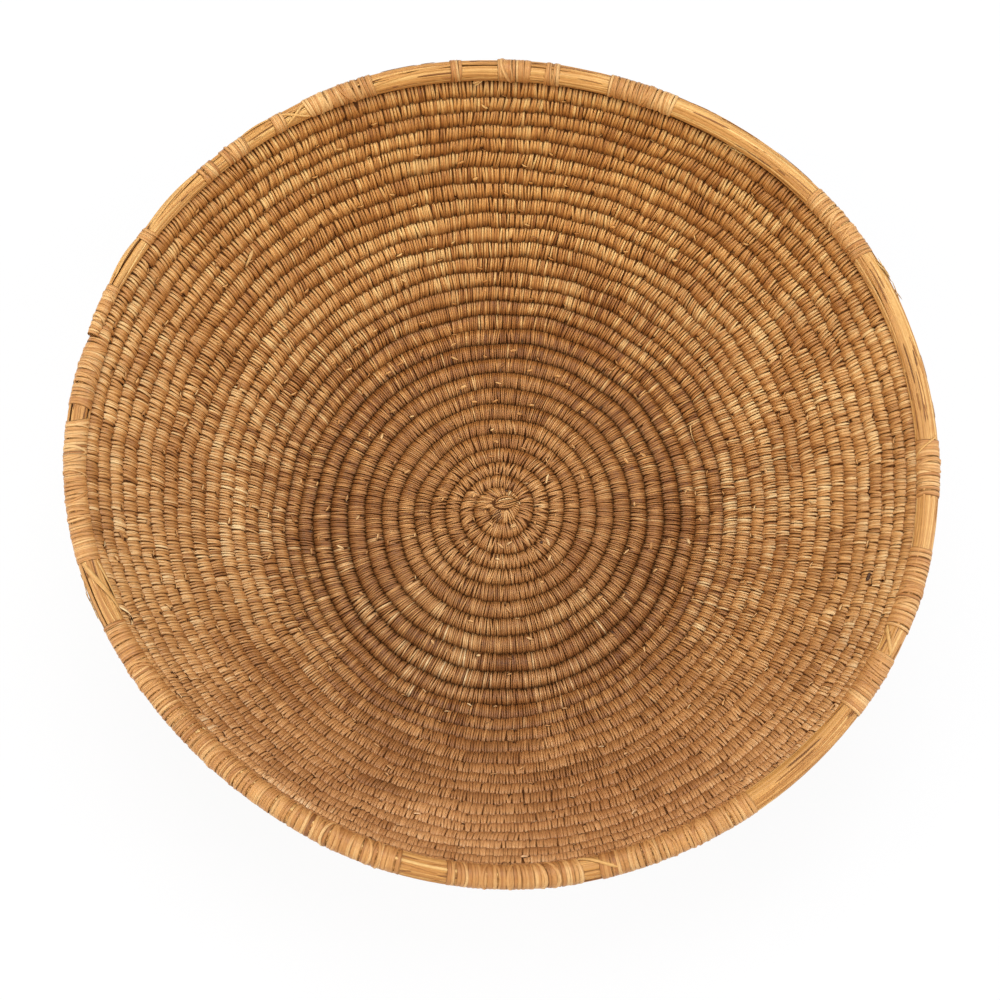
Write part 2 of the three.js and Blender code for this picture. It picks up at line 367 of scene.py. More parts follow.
def splintFinish(name, look):
    material, desk = newFinish(name)
    painted = desk.node("ShaderNodeAttribute", {"attribute_name": "stitch"})
    tone = desk.node("ShaderNodeSeparateColor", None, {"Color": painted})
    crown, crease = tone.also("Green"), tone.also("Blue")
    strip = {"W": painted.also("Alpha"), "Scale": 1.0}
    streak = desk.node("ShaderNodeTexNoise", {"noise_dimensions": "1D"}, strip)
    fibre = noise(desk, look["fibre"], 2)
    patch = noise(desk, look["patchScale"], 3)
    place = desk.node("ShaderNodeTexCoord", take="Object")
    depth = desk.node("ShaderNodeSeparateXYZ", None, {"Vector": place}, take="Y")
    away = spread(depth, look["farSpan"])
    lively = spread(depth, look["nearSpan"], look["nearStreak"])
    lit = tone + (fibre - 0.5) * look["fibreShare"] + (streak - 0.5) * look["streakShare"] * lively
    colour = desk.node("ShaderNodeValToRGB", {"stops": look["stops"]}, {"Fac": lit})
    colour = mixColour(spread(patch, look["patchSpan"]) * look["patchShare"], colour, look["patch"])
    # painted light by place along y: the far side shaded darker and warmer, the near side given a paler,
    # bluer sheen
    colour = mixColour(away, colour, look["farShade"], "MULTIPLY")
    colour = mixColour((1 - lively) * look["nearSheenShare"], colour, look["nearSheen"], "MULTIPLY")
    # painted shade on each strip's edges, in the valleys between stitches
    colour = mixColour(((1 - crown) ** look["gapPower"]) * look["gapShare"], colour, look["gap"])
    # painted shade from the blue channel: creases, lower halves of laps, holes and dark strands
    shade = desk.node("ShaderNodeValToRGB", {"stops": look["crease"]}, {"Fac": crease})
    colour = mixColour(crease * look["creaseShare"], colour, shade)
    closeFinish(desk, look, colour, look["rough"] + (fibre - 0.5) * look["roughShare"], fibre)
    return material


grass = {
    "stops": ((0.3, linear(58, 32, 13)), (0.7, linear(104, 62, 28))),
    "stems": 900,                            # scale
    "rough": 0.75,
    "roughShare": 0.2,
    "shine": 0.1,
    "bump": (0.4, 0.3 * mm),
}


def grassFinish(name, look):
    material, desk = newFinish(name)
    stems = noise(desk, look["stems"], 3)
    colour = desk.node("ShaderNodeValToRGB", {"stops": look["stops"]}, {"Fac": stems})
    closeFinish(desk, look, colour, look["rough"] + stems * look["roughShare"], stems)
    return material


# meshes: shapes are made along a straight row, then laid on the bowl

rowSpacing = 4                               # free room between the shapes of a row


def layCopies(bm, spacing, count):           # the row doubles until it is long enough
    made = 1
    while made < count:
        more = min(made, count - made)
        limit = more * spacing - rowSpacing / 2
        verts = [vert for vert in bm.verts if vert.co.x < limit]
        edges = [edge for edge in bm.edges if edge.verts[0].co.x < limit]
        faces = [face for face in bm.faces if face.verts[0].co.x < limit]
        copied = bmesh.ops.duplicate(bm, geom=verts + edges + faces)["geom"]
        moved = [item for item in copied if isinstance(item, bmesh.types.BMVert)]
        bmesh.ops.translate(bm, verts=moved, vec=(made * spacing, 0, 0))
        made += more


ringSection = ((-0.5, 0), (-0.2, 1), (0.2, 1), (0.5, 0))  # across a strip of splint, with its rise


def ringRow(count, around):                  # rings of splint round the row, one for each turn
    bm = bmesh.new()
    corners = [bm.verts.new((across, 1 + rise, 0)) for across, rise in ringSection]
    edges = [bm.edges.new((corners[i - 1], corners[i])) for i in range(len(corners))]
    bmesh.ops.spin(
        bm, geom=corners + edges, cent=(0, 0, 0), axis=(1, 0, 0),
        angle=2 * math.pi, steps=around, use_merge=True,
    )
    bmesh.ops.recalc_face_normals(bm, faces=bm.faces[:])
    layCopies(bm, rowSpacing, count)
    return bm


def readRings(row):                          # which ring, place across the strip, angle round it, rise
    which = np.rint(row[:, 0] / rowSpacing).astype(int)
    alpha = np.arctan2(row[:, 2], row[:, 1])
    return which, row[:, 0] - which * rowSpacing, alpha, np.rint(np.hypot(row[:, 1], row[:, 2]) - 1)


def tubeRow(count, steps, sides):            # closed tubes along the row, one unit a step
    bm = bmesh.new()
    bmesh.ops.create_cone(bm, cap_ends=True, segments=sides, radius1=1, radius2=1, depth=steps)
    lengthwise = [edge for edge in bm.edges if abs(edge.verts[0].co.z - edge.verts[1].co.z) > steps / 2]
    bmesh.ops.subdivide_edges(bm, edges=lengthwise, cuts=steps - 1, use_grid_fill=True)
    bmesh.ops.rotate(bm, verts=bm.verts[:], cent=(0, 0, 0), matrix=Matrix.Rotation(math.pi / 2, 3, "Y"))
    bmesh.ops.translate(bm, verts=bm.verts[:], vec=(steps / 2, 0, 0))
    bmesh.ops.recalc_face_normals(bm, faces=bm.faces[:])
    layCopies(bm, steps + rowSpacing, count)
    return bm


def readTubes(row, steps):                   # which tube, share of its length, angle round it
    which = np.floor((row[:, 0] + 1) / (steps + rowSpacing)).astype(int)
    return which, (row[:, 0] - which * (steps + rowSpacing)) / steps, np.arctan2(row[:, 2], row[:, 1])


def toMesh(bm, name):
    mesh = bpy.data.meshes.new(name)
    bm.to_mesh(mesh)
    bm.free()
    points = np.empty(len(mesh.vertices) * 3, np.float32)
    mesh.vertices.foreach_get("co", points)
    return mesh, points.reshape(-1, 3).astype(float)


streaks = {"step": 7.31, "span": 40}         # each strip reads its own stretch of them


def streakPlace(which, across):
    return which * streaks["step"] % streaks["span"] + across


def addPiece(mesh, points, material, nodes, shades=None):  # shades: tone, crown, crease, streaks
    mesh.vertices.foreach_set("co", points.astype(np.float32).ravel())
    if shades is not None:
        layer = mesh.color_attributes.new("stitch", "FLOAT_COLOR", "POINT")
        layer.data.foreach_set("color", np.stack(shades, 1).astype(np.float32).ravel())
    mesh.polygons.foreach_set("use_smooth", np.ones(len(mesh.polygons), bool))
    mesh.materials.append(material)
    mesh.update()
    piece = bpy.data.objects.new(mesh.name, mesh)
    scene.collection.objects.link(piece)
    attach(piece, "root")
    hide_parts(*nodes)


# coil: a dark grass core under stitches of splint

core = {"lapSteps": 96, "sides": 10, "width": 1.05, "thick": 0.92, "floor": 0.5 * mm}


def makeCore(node, start, end, material):
    steps = math.ceil((end - start) * core["lapSteps"])
    mesh, row = toMesh(tubeRow(1, steps, core["sides"]), node.replace("coil", "core"))
    _, share, alpha = readTubes(row, steps)
    halfWidth = coil["pitch"] / 2 * core["width"]
    up, inward = ovalSection(alpha, halfWidth, coil["halfThick"] * core["thick"], coil["square"])
    points = onCoil(start + (end - start) * share, up, inward)
    points[:, 2] = np.maximum(points[:, 2], core["floor"])
    addPiece(mesh, points, material, [node])


stitch = {
    "baseWidth": 0.92 * mm,                  # along the coil, stitch to stitch
    "rimWidth": 1.58 * mm,
    "widthShare": {"even": 1.02, "tight": 0.08, "free": 0.1},
    "widthSpread": 0.09,
    "full": 1.12,                            # width of the strip over that, in its middle
    "slimTop": (0.06, 0.24),                 # less toward the top of a lap, and more of that on the wall
    "slimFoot": 0.08,                        # less toward the foot of a lap, on the base
    "around": 12,
    "bunch": 0.16,                           # corners drawn toward the creases
    "rise": 0.36 * mm,                       # ridge over the valleys
    "riseShare": {"even": 1.25, "tight": -0.8},
    "riseSpread": 0.15,
    "tilt": 0.16 * mm,
    "lean": 0.05,                            # along the coil for each length across it
    "runLean": 0.06,                         # spread of it, from run to run
    "stitchLean": 0.05,                      # and from stitch to stitch
    "jitter": 0.1,                           # of a stitch, along the coil
    "looser": 1.2,                           # more jitter and lean near the knot
    "freeSpan": (48 * mm, 18 * mm),          # slope lengths over which that starts
    "closeSpan": (150 * mm, 205 * mm),       # slope lengths over which the near wall gets closer sewn
    "closeFar": 1.6,                         # and how fast that ends toward the far side
    "closeRise": 0.82,                       # share of the rise that goes there
    "closeSlim": 0.7,                        # share of the slimming that goes there
    "turnUp": 0.9,                           # share of the base at which the wall's ways start
    "wallRun": 0.35,                         # share of the wall until they hold
    "baseBite": (0, 0.9 * mm),               # reach over the lap below
    "wallBite": (0.2 * mm, 1.7 * mm),
    "biteIn": 0.4,                           # share of it, into the bowl
    "biteSpan": (0.4, 0.86),                 # how far down the lap that starts
    "floor": 0.3 * mm,
    "runs": (9, 24),                         # stitches sewn with one splint
    "tightPower": 0.8,                       # less gives more tight runs
    "splices": 0.55,                         # share of its ends that shows
    "hole": (-0.55, 0.35),                   # where a new splint comes in, and its half width
    "holeDepth": 0.7 * mm,
    "shadeReach": 23 * mm,                   # painted shade in the corner where the wall starts
    "beltReach": 45 * mm,                    # livelier belt at the foot
    "flank": (104 * mm, 17 * mm),            # paler place at the sides, low on the wall
    # tone: the base darker; painted shade at the foot corner and down the near wall; paler at the belt and
    # the flanks
    "tone": {"even": 0.595, "turnUp": -0.12, "base": -0.16, "nearLowShade": -0.34, "belt": 0.06, "flank": 0.07},
    "lowPower": 0.7,                         # how the painted shade on the near wall deepens downwards
    "runTone": 0.07,                         # spread from run to run
    "stitchTone": {"even": 0.13, "tight": -0.04},  # spread from stitch to stitch
    "lively": {"even": 0.8, "wall": 0.2, "free": 0.25, "near": -0.65, "belt": 0.9},  # share of that spread
    "darkest": 0.02,
    "marks": ((-18.89, -18.6, 0.13), (-19.708, -19.698, -0.4)),  # laps from and to, paler or darker
    "samples": 20000,                        # along the coil, to count the stitches
    "mostInPiece": 2000,
    "seed": 11,
}


def weigh(shares, places):                   # sum of the places, each by its share
    return sum(share * places[key] for key, share in shares.items())


def beltAt(length, middle, reach):           # 1 in the middle of a belt round the bowl, less beside it
    return np.exp(-((length - middle) / reach) ** 2)


def sewStitches(start, end):                 # every stitch of the coil, in order
    rng = np.random.default_rng(stitch["seed"])
    laps = np.linspace(start, end, stitch["samples"])
    middle = (laps[1:] + laps[:-1]) / 2
    climb = ramp(seamLength(middle), footLength / 2, rimLength)
    width = stitch["baseWidth"] + (stitch["rimWidth"] - stitch["baseWidth"]) * climb
    run = np.append(0, np.cumsum(2 * math.pi * lapRadius(middle) * np.diff(laps) / width))
    count = int(run[-1])
    runOf = np.repeat(np.arange(count), rng.integers(*stitch["runs"], count))[:count]
    tight = rng.random(count)[runOf] ** stitch["tightPower"]
    free = ramp(np.interp(np.arange(count), run, seamLength(laps)), *stitch["freeSpan"])
    looser = 1 + stitch["looser"] * free
    lap = np.interp(np.arange(count) + 0.5 + rng.normal(0, stitch["jitter"], count) * looser, run, laps)
    length = seamLength(lap)
    turnUp = stitch["turnUp"] * footLength
    wall = ramp(length, turnUp, turnUp + stitch["wallRun"] * (rimLength - footLength))
    bite = rng.uniform(*stitch["wallBite"], count) * wall
    bite = bite + rng.uniform(*stitch["baseBite"], count) * (1 - wall)
    far = np.sin(np.radians(lapTurn(lap)))   # 1 on the far side, -1 on the near side
    near = np.clip(-far, 0, 1) * wall
    belt = beltAt(length, footLength, stitch["beltReach"]) * (1 - near)
    close = ramp(length, *stitch["closeSpan"]) * (1 - np.clip(stitch["closeFar"] * far, 0, 1))
    places = {
        "even": 1, "tight": tight, "free": free, "wall": wall, "base": 1 - wall, "near": near, "belt": belt,
        # masks of the painted shade down the near wall and in the foot corner
        "nearLowShade": near * ramp(length, rimLength, footLength) ** stitch["lowPower"],
        "turnUp": beltAt(length, turnUp, stitch["shadeReach"]),
        "flank": beltAt(length, *stitch["flank"]) * (1 - far ** 2),
    }
    tone = weigh(stitch["tone"], places) + stitch["runTone"] * rng.normal(size=count)[runOf]
    lively = weigh(stitch["stitchTone"], places) * weigh(stitch["lively"], places)
    tone = tone + lively * rng.normal(size=count)
    for first, last, change in stitch["marks"]:
        tone = tone + change * ((lap > first) & (lap < last))
    wide = weigh(stitch["widthShare"], places) + rng.normal(0, stitch["widthSpread"], count)
    high = weigh(stitch["riseShare"], places) + rng.normal(0, stitch["riseSpread"], count)
    tilt = rng.normal(0, stitch["tilt"], count)
    slant = stitch["runLean"] * rng.normal(size=count)[runOf] + rng.normal(0, stitch["stitchLean"], count)
    shows = rng.random(count - 1) < stitch["splices"]
    return {
        "lap": lap,
        "width": np.interp(lap, middle, width) * wide,
        "rise": stitch["rise"] * high * (1 - stitch["closeRise"] * close),
        "tilt": tilt,
        "lean": slant * looser - stitch["lean"],
        "bite": bite,
        "tone": np.clip(tone, stitch["darkest"], 1),
        "tight": tight,
        "wall": wall,
        "belt": belt,
        "close": close,
        "far": far,
        "newRun": np.append(True, (np.diff(runOf) > 0) & shows),
    }


def stitchPoints(mine, side, alpha, crown, hole):
    below = np.clip(-np.sin(alpha), 0, 1)
    above = np.clip(np.sin(alpha), 0, 1)
    up, inward = coilSection(alpha, crown * mine["rise"] + side * mine["tilt"] - hole * stitch["holeDepth"])
    over = ramp(below, *stitch["biteSpan"]) * np.clip(2 * np.cos(alpha), -1, 1)  # on the lap below
    up = up - mine["bite"] * below ** 2
    inward = inward + mine["bite"] * stitch["biteIn"] * over
    baseTop, wallTop = stitch["slimTop"]
    top = baseTop + wallTop * mine["wall"] * (1 - stitch["closeSlim"] * mine["close"])
    slim = stitch["full"] - top * above - stitch["slimFoot"] * (1 - mine["wall"]) * below ** 2
    along = side * mine["width"] * slim + mine["lean"] * up
    points = onCoil(mine["lap"] + along / (2 * math.pi * lapRadius(mine["lap"])), up, inward)
    points[:, 2] = np.maximum(points[:, 2], stitch["floor"] * (1 - crown))
    return points


paint = {                                    # painted shade: dark lines between the stitches and between the laps
    "parted": {"even": 0.95, "wall": -0.5, "wallTop": 0.7},
    "partedTight": {"even": 1.15, "tight": -0.35},
    "partedFar": (-0.65, 0.45),              # change of the painted shade on the near and on the far wall
    "partedClose": {"even": 1, "close": -0.9},
    "gap": {"even": 1.3, "belt": 0.9, "wallNear": -0.4},
    "seams": ((0.15, 0.9, 0.6), (0.85, 1, 0.3)),  # painted shade at the seams between laps: from and to this far off a lap's middle, share
    "seamWall": {"even": 1, "wall": -0.7},
    "seamBelt": {"even": 1.2, "belt": 0.6},
    "ridge": 0.4,                            # light that a ridge keeps to its end
    "lower": (0.1, -0.65),                   # painted shade on the lower half of a lap, on the wall, as under light from above
    "lowerShare": {"even": 0.36, "far": 0.4, "bite": -0.08 / mm},
    "lowerClose": {"even": 1, "close": -0.5},
    # painted shade in the hole where a new splint comes in
    "hole": {"even": 1, "close": -0.6},
    "topLight": 0.14,                         # painted light: paler toward the top of a lap, on the wall
    "streak": 4,
}


def stitchShades(mine, side, alpha, crown, hole, which):
    sine = np.sin(alpha)
    near = np.clip(-mine["far"], 0, 1)
    places = dict(mine, even=1, wallTop=mine["wall"] * sine, wallNear=mine["wall"] * near)
    parted = np.clip(weigh(paint["parted"], places), 0, 1) * weigh(paint["partedTight"], places)
    parted = parted * (1 + mine["wall"] * np.interp(mine["far"], (-1, 1), paint["partedFar"]))
    parted = parted * weigh(paint["partedClose"], places)
    # painted shade in the valleys between stitches
    gap = np.clip(1 - (1 - crown) * parted * weigh(paint["gap"], places), 0, 1)
    # painted shade at the seams between laps
    seam = sum(ramp(np.abs(sine), first, last) * share for first, last, share in paint["seams"])
    seam = seam * weigh(paint["seamWall"], places) * weigh(paint["seamBelt"], places)
    seam = seam * (1 - paint["ridge"] * crown * np.clip(-sine, 0, 1) ** 2)
    # painted shade on the lower half of each lap on the wall
    lower = ramp(sine, *paint["lower"]) * weigh(paint["lowerShare"], places)
    lower = lower * weigh(paint["lowerClose"], places)
    crease = seam + mine["wall"] * lower + hole * weigh(paint["hole"], places)
    # painted light on the upper half of each lap on the wall
    tone = mine["tone"] + paint["topLight"] * places["wallTop"]
    return tone, gap, np.clip(crease, 0, 1), streakPlace(which, side * paint["streak"])


def makeStitches(node, sewn, start, end, material):
    chosen = np.flatnonzero((sewn["lap"] >= start) & (sewn["lap"] < end))
    parts = math.ceil(len(chosen) / stitch["mostInPiece"])
    for number, some in enumerate(np.array_split(chosen, parts)):
        name = node.replace("coil", f"stitches_{number + 1}")
        mesh, row = toMesh(ringRow(len(some), stitch["around"]), name)
        which, side, alpha, crown = readRings(row)
        alpha = alpha + stitch["bunch"] * np.sin(2 * alpha)
        mine = {key: values[some][which] for key, values in sewn.items()}
        hole = mine["newRun"] * (np.abs(alpha - stitch["hole"][0]) < stitch["hole"][1])
        points = stitchPoints(mine, side, alpha, crown, hole)
        shades = stitchShades(mine, side, alpha, crown, hole, which)
        addPiece(mesh, points, material, [node], shades)


splintLook = splintFinish("splint", splint)
grassLook = grassFinish("bundleGrass", grass)
coilStart = lapAtSeam(coil["startLength"] - coil["pitch"] / 2)
baseEnd = lapAtSeam(footLength)
wallNames = ("lower_wall_coil", "middle_wall_coil", "upper_wall_coil")
wallEnds = np.linspace(baseEnd, 0, len(wallNames) + 1)
sewing = sewStitches(coilStart, 0)
spans = [("base_coil", coilStart, baseEnd)] + list(zip(wallNames, wallEnds, wallEnds[1:]))
for node, start, end in spans:
    makeCore(node, start, end, grassLook)
    makeStitches(node, sewing, start, end, splintLook)
print("coil sewn:", len(sewing["lap"]), "stitches")


# strands: strips of grass and splint laid along the coil or the rim

def onStitches(lap, lift, alpha):            # lift is over the ridges of the stitches
    return onCoil(lap, *coilSection(alpha, stitch["rise"] + lift))


def onGrass(lap, lift, alpha):
    return onRim(lap, grassRadius(lap) + lift, alpha)


plainStrand = {"bow": 0, "arch": 0, "tip": 1.2, "dark": 0}  # what a strand is that says nothing else
strandEdge = {"round": 1.1, "pale": 0.35, "tip": 0.1, "streak": 1.4}


def layStrands(name, place, reach, strands, steps, sides, material, nodes):
    count = len(strands["start"])
    mesh, row = toMesh(tubeRow(count, steps, sides), name)
    which, share, beta = readTubes(row, steps)
    mine = {}
    for key, values in dict(plainStrand, **strands).items():
        mine[key] = np.broadcast_to(np.asarray(values, float), count)[which]
    bow = 4 * share * (1 - share)
    taper = np.clip(np.minimum(share, 1 - share) * steps / mine["tip"], strandEdge["tip"], 1)
    lap = mine["start"] + (mine["end"] - mine["start"]) * share
    alpha = mine["from"] + (mine["to"] - mine["from"]) * share + mine["bow"] * bow
    lift = mine["liftFrom"] + (mine["liftTo"] - mine["liftFrom"]) * share + mine["arch"] * bow
    wide = mine["width"] / 2 * taper
    points = place(lap, lift + mine["thick"] / 2 * taper * np.cos(beta), alpha + wide * np.sin(beta) / reach)
    gap = np.clip(np.cos(beta) * strandEdge["round"] + strandEdge["pale"], 0, 1)  # painted shade underneath
    shades = mine["tone"], gap, mine["dark"], streakPlace(which, strandEdge["streak"] * beta)
    addPiece(mesh, points, material, nodes, shades)


def layRimStrands(name, strands, steps, sides, material):
    reach = rim["strandReach"]
    layStrands(name, onGrass, reach, strands, steps, sides, material, ["rim_bundle"])


splice = {
    "length": (1.8 * mm, 3.4 * mm),
    "width": (0.7 * mm, 1.2 * mm),
    "thick": 0.45 * mm,
    "tip": 0.5,                              # steps over which it narrows
    "place": (-0.5, 0.3),                    # angle round the coil, and its spread
    "turn": 0.3,
    "sunk": -0.3 * mm,                       # where it comes out of the stitches
    "lift": (0, 0.45 * mm),
    "arch": 0.3 * mm,
    "tone": (0.62, 0.16),                    # and its spread
    "seed": 61,
}


def makeSplices(node, sewn, start, end, material):  # cut ends of splint, each beside the hole of the next
    rng = np.random.default_rng(splice["seed"])
    laps = sewn["lap"][sewn["newRun"]]
    laps = laps[(laps >= start) & (laps < end)]
    count = len(laps)
    run = rng.uniform(*splice["length"], count) * rng.choice((-1, -1, 1), count)
    alpha = rng.normal(*splice["place"], count)
    strands = {
        "start": laps, "end": laps + run / (2 * math.pi * lapRadius(laps)),
        "from": alpha, "to": alpha + rng.normal(0, splice["turn"], count),
        "liftFrom": splice["sunk"], "liftTo": rng.uniform(*splice["lift"], count), "arch": splice["arch"],
        "width": rng.uniform(*splice["width"], count), "thick": splice["thick"], "tip": splice["tip"],
        "tone": np.clip(rng.normal(*splice["tone"], count), 0, 1),
    }
    name = node.replace("coil", "splices")
    layStrands(name, onStitches, coil["halfThick"], strands, 5, 6, material, [node])


for node, start, end in spans:
    makeSplices(node, sewing, start, end, splintLook)
print("splices laid")


# rim: ribbons of grass over a dark core, and bands of splint wound round them

stem = {
    "coreSteps": 240,
    "coreSides": 12,
    "coreUnder": 0.25 * mm,                  # from the middle of the stems to the core
    "lead": 0.004,                           # laps that it all starts before the coil's end
    "lanes": 16,
    "inLane": 5,
    "extra": 150,                            # short ones laid over the lanes
    "extraReach": (0.05, 0.22),              # laps
    "extraWidth": 0.5,                       # share of the others'
    "overlap": 0.07,                         # laps, end over end in a lane
    "early": 0.03,                           # laps that they are moved back
    "lastStart": 0.98,
    "stagger": 0.12,
    "drift": 0.22,                           # slant, and that of the short ones
    "extraDrift": 0.5,
    "bow": 0.12,
    "width": (1.6 * mm, 2.6 * mm),
    "thick": 0.9 * mm,
    "tip": 1.5,
    "sink": 0.4 * mm,                        # from the bundle's outside to the middle of a stem
    "sinkSpread": 0.4,
    "arch": 0.14 * mm,
    "tone": (0.6, 0.12),                     # and its spread
    "extraTone": (0.6, 1.35),
    "fresh": (0.72, 0.1),                    # lap from which the tail is paler, and by how much
    "seed": 23,
}


def makeRimCore(material):
    mesh, row = toMesh(tubeRow(1, stem["coreSteps"], stem["coreSides"]), "rim_core")
    _, share, alpha = readTubes(row, stem["coreSteps"])
    lap = share * (1 + stem["lead"]) - stem["lead"]
    points = onRim(lap, grassRadius(lap) - stem["sink"] - stem["coreUnder"], alpha)
    addPiece(mesh, points, material, ["rim_bundle"])


def makeRimStems(material):
    rng = np.random.default_rng(stem["seed"])
    inLanes = stem["lanes"] * stem["inLane"]
    count = inLanes + stem["extra"]
    lane = np.append(np.arange(inLanes) % stem["lanes"], rng.uniform(0, stem["lanes"], stem["extra"]))
    part = np.append(np.arange(inLanes) // stem["lanes"], rng.uniform(0, stem["inLane"], stem["extra"]))
    extra = np.arange(count) >= inLanes
    alpha = lane / stem["lanes"] * 2 * math.pi
    start = (part + rng.normal(0, stem["stagger"], count)) / stem["inLane"] - stem["early"]
    reach = np.where(extra, rng.uniform(*stem["extraReach"], count), 1 / stem["inLane"] + stem["overlap"])
    drift = rng.normal(0, 1, count) * np.where(extra, stem["extraDrift"], stem["drift"])
    bow = rng.normal(0, stem["bow"], count)
    liftFrom = rng.normal(-1, stem["sinkSpread"], count) * stem["sink"]
    liftTo = rng.normal(-1, stem["sinkSpread"], count) * stem["sink"]
    width = rng.uniform(*stem["width"], count) * np.where(extra, stem["extraWidth"], 1)
    tone = rng.normal(*stem["tone"], count) * np.where(extra, rng.uniform(*stem["extraTone"], count), 1)
    fresh, paler = stem["fresh"]
    strands = {
        "start": np.clip(start, -stem["lead"], stem["lastStart"]), "end": np.clip(start + reach, 0, 1),
        "from": alpha - drift, "to": alpha + drift, "bow": bow,
        "liftFrom": liftFrom, "liftTo": liftTo, "arch": np.where(extra, stem["arch"], 0),
        "width": width, "thick": stem["thick"], "tip": stem["tip"],
        "tone": np.clip(tone + paler * (start > fresh), 0, 1),
    }
    layRimStrands("rim_stems", strands, 32, 8, material)


wrap = {
    "spans": (                               # degrees round the rim
        (-6.4, 1.4), (29.4, 40.4), (64.2, 74.1), (81.4, 83.6), (85.8, 90.3), (95.8, 97.2), (108.6, 118.6),
        (122.3, 123.9), (128.6, 132.2), (133.9, 136.4), (146.7, 148.5), (156.2, 163.4), (161.6, 173.5),
        (175.1, 195.4), (204.6, 223.6), (224.3, 240.6), (241.3, 256.6), (262.8, 280.1), (283.1, 304.3),
        (322.5, 331.1), (335, 346.4),
    ),
    "width": 1.25 * mm,                      # turn to turn
    "place": (0.32, 0.68),                   # of a turn in its own width
    "overlap": (1.2, 1.8),                   # width of the strip over that
    "around": 14,
    "seat": 0.34 * mm,                       # over the grass
    "rise": 0.17 * mm,
    "riseShare": (0.4, 1.5),
    "tilt": 0.25 * mm,
    "lean": 0.1,
    "crossEvery": 9,                         # so many turns have one wound slantwise over them
    "crossPlace": (0.2, 0.8),
    "crossLean": 0.4,
    "crossRise": 0.32 * mm,
    "tone": (0.67, 0.15),                    # and its spread
    # painted shade: the near side of the rim darker
    "nearShade": -0.04,
    "crossTone": 0.05,
    "paleGap": 0.6,                          # most that a gap loses of its painted shade
    "nearGap": 0.4,                          # and more on the near side
    "worn": 0.2,                             # painted shade, browner toward the inside, on the near side
    "streak": 3.2,
    "seed": 37,
}


def makeWraps(number, span, material):
    rng = np.random.default_rng(wrap["seed"] + number)
    first = ((span[0] - coil["endAngle"] + 3) % 360 - 3) / 360
    last = first + (span[1] - span[0]) / 360
    count = max(2, round((span[1] - span[0]) * rimRound / 360 / wrap["width"]))
    even = (np.arange(count) + rng.uniform(*wrap["place"], count)) / count
    extras = count // wrap["crossEvery"]
    place = first + (last - first) * np.append(even, rng.uniform(*wrap["crossPlace"], extras))
    width = (last - first) / count * rng.uniform(*wrap["overlap"], count + extras)
    crossing = np.arange(count + extras) >= count
    count += extras
    mesh, row = toMesh(ringRow(count, wrap["around"]), f"rim_wraps_{number:02d}")
    which, side, alpha, crown = readRings(row)
    lean = rng.normal(0, wrap["lean"], count) + rng.normal(0, wrap["lean"])
    lean = lean + crossing * rng.choice((-wrap["crossLean"], wrap["crossLean"]), count)
    rise = wrap["rise"] * rng.uniform(*wrap["riseShare"], count) + crossing * wrap["crossRise"]
    near = np.clip(-np.sin(np.radians(lapTurn(place))), 0, 1)
    # painted shade on the near side
    tone = rng.normal(*wrap["tone"], count) + wrap["nearShade"] * near + wrap["crossTone"] * crossing
    tilt = rng.normal(0, wrap["tilt"], count)
    reach = grassRadius(place)[which] + wrap["seat"] + crown * rise[which] + side * tilt[which]
    lap = place[which] + side * width[which] + lean[which] * np.sin(alpha) * reach / rimRound
    pale = rng.uniform(0, wrap["paleGap"], count) + wrap["nearGap"] * near
    worn = wrap["worn"] * near[which] * np.clip(np.cos(alpha) * 1.2, 0, 1)
    # painted shade: in the gaps between turns, under the band, and toward the inside on the near side
    shades = (
        np.clip(tone, 0, 1)[which] - worn, np.clip(crown + pale[which], 0, 1),
        ramp(-np.sin(alpha), 0.7, 1), streakPlace(which, side * wrap["streak"]),
    )
    addPiece(mesh, onRim(lap, reach, alpha), material, [f"rim_band_{number:02d}"], shades)


rimMildShade = dict(splint, nearSheen=(1, 1, 1, 1), farShade=(1, 0.97, 0.88, 1))  # the rim has no painted near-side sheen and a milder painted far-side shade
rimGrass = dict(rimMildShade, patchShare=0.15, gapShare=0.9, streakShare=0.7, stops=(
    (0.0, linear(128, 76, 32)),
    (0.35, linear(180, 121, 58)),
    (0.7, linear(211, 156, 87)),
    (1.0, linear(238, 197, 128)),
))
rimSplint = dict(rimMildShade, patchShare=0.25, gapShare=0.6, streakShare=0.9, stops=(
    (0.0, linear(128, 78, 36)),
    (0.35, linear(180, 121, 65)),
    (0.7, linear(208, 151, 88)),
    (1.0, linear(234, 189, 127)),
))
rimHeart = dict(grass, stops=((0.3, linear(84, 48, 20)), (0.7, linear(132, 82, 36))))
rimLook = splintFinish("rimGrass", rimGrass)
wrapLook = splintFinish("rimSplint", rimSplint)
makeRimCore(grassFinish("rimHeart", rimHeart))
makeRimStems(rimLook)
for number, span in enumerate(wrap["spans"], 1):
    makeWraps(number, span, wrapLook)
print("rim bound:", len(wrap["spans"]), "bands")


# loose bits: frays, slits and crossing strips on the rim, splint ends and straws on the coil

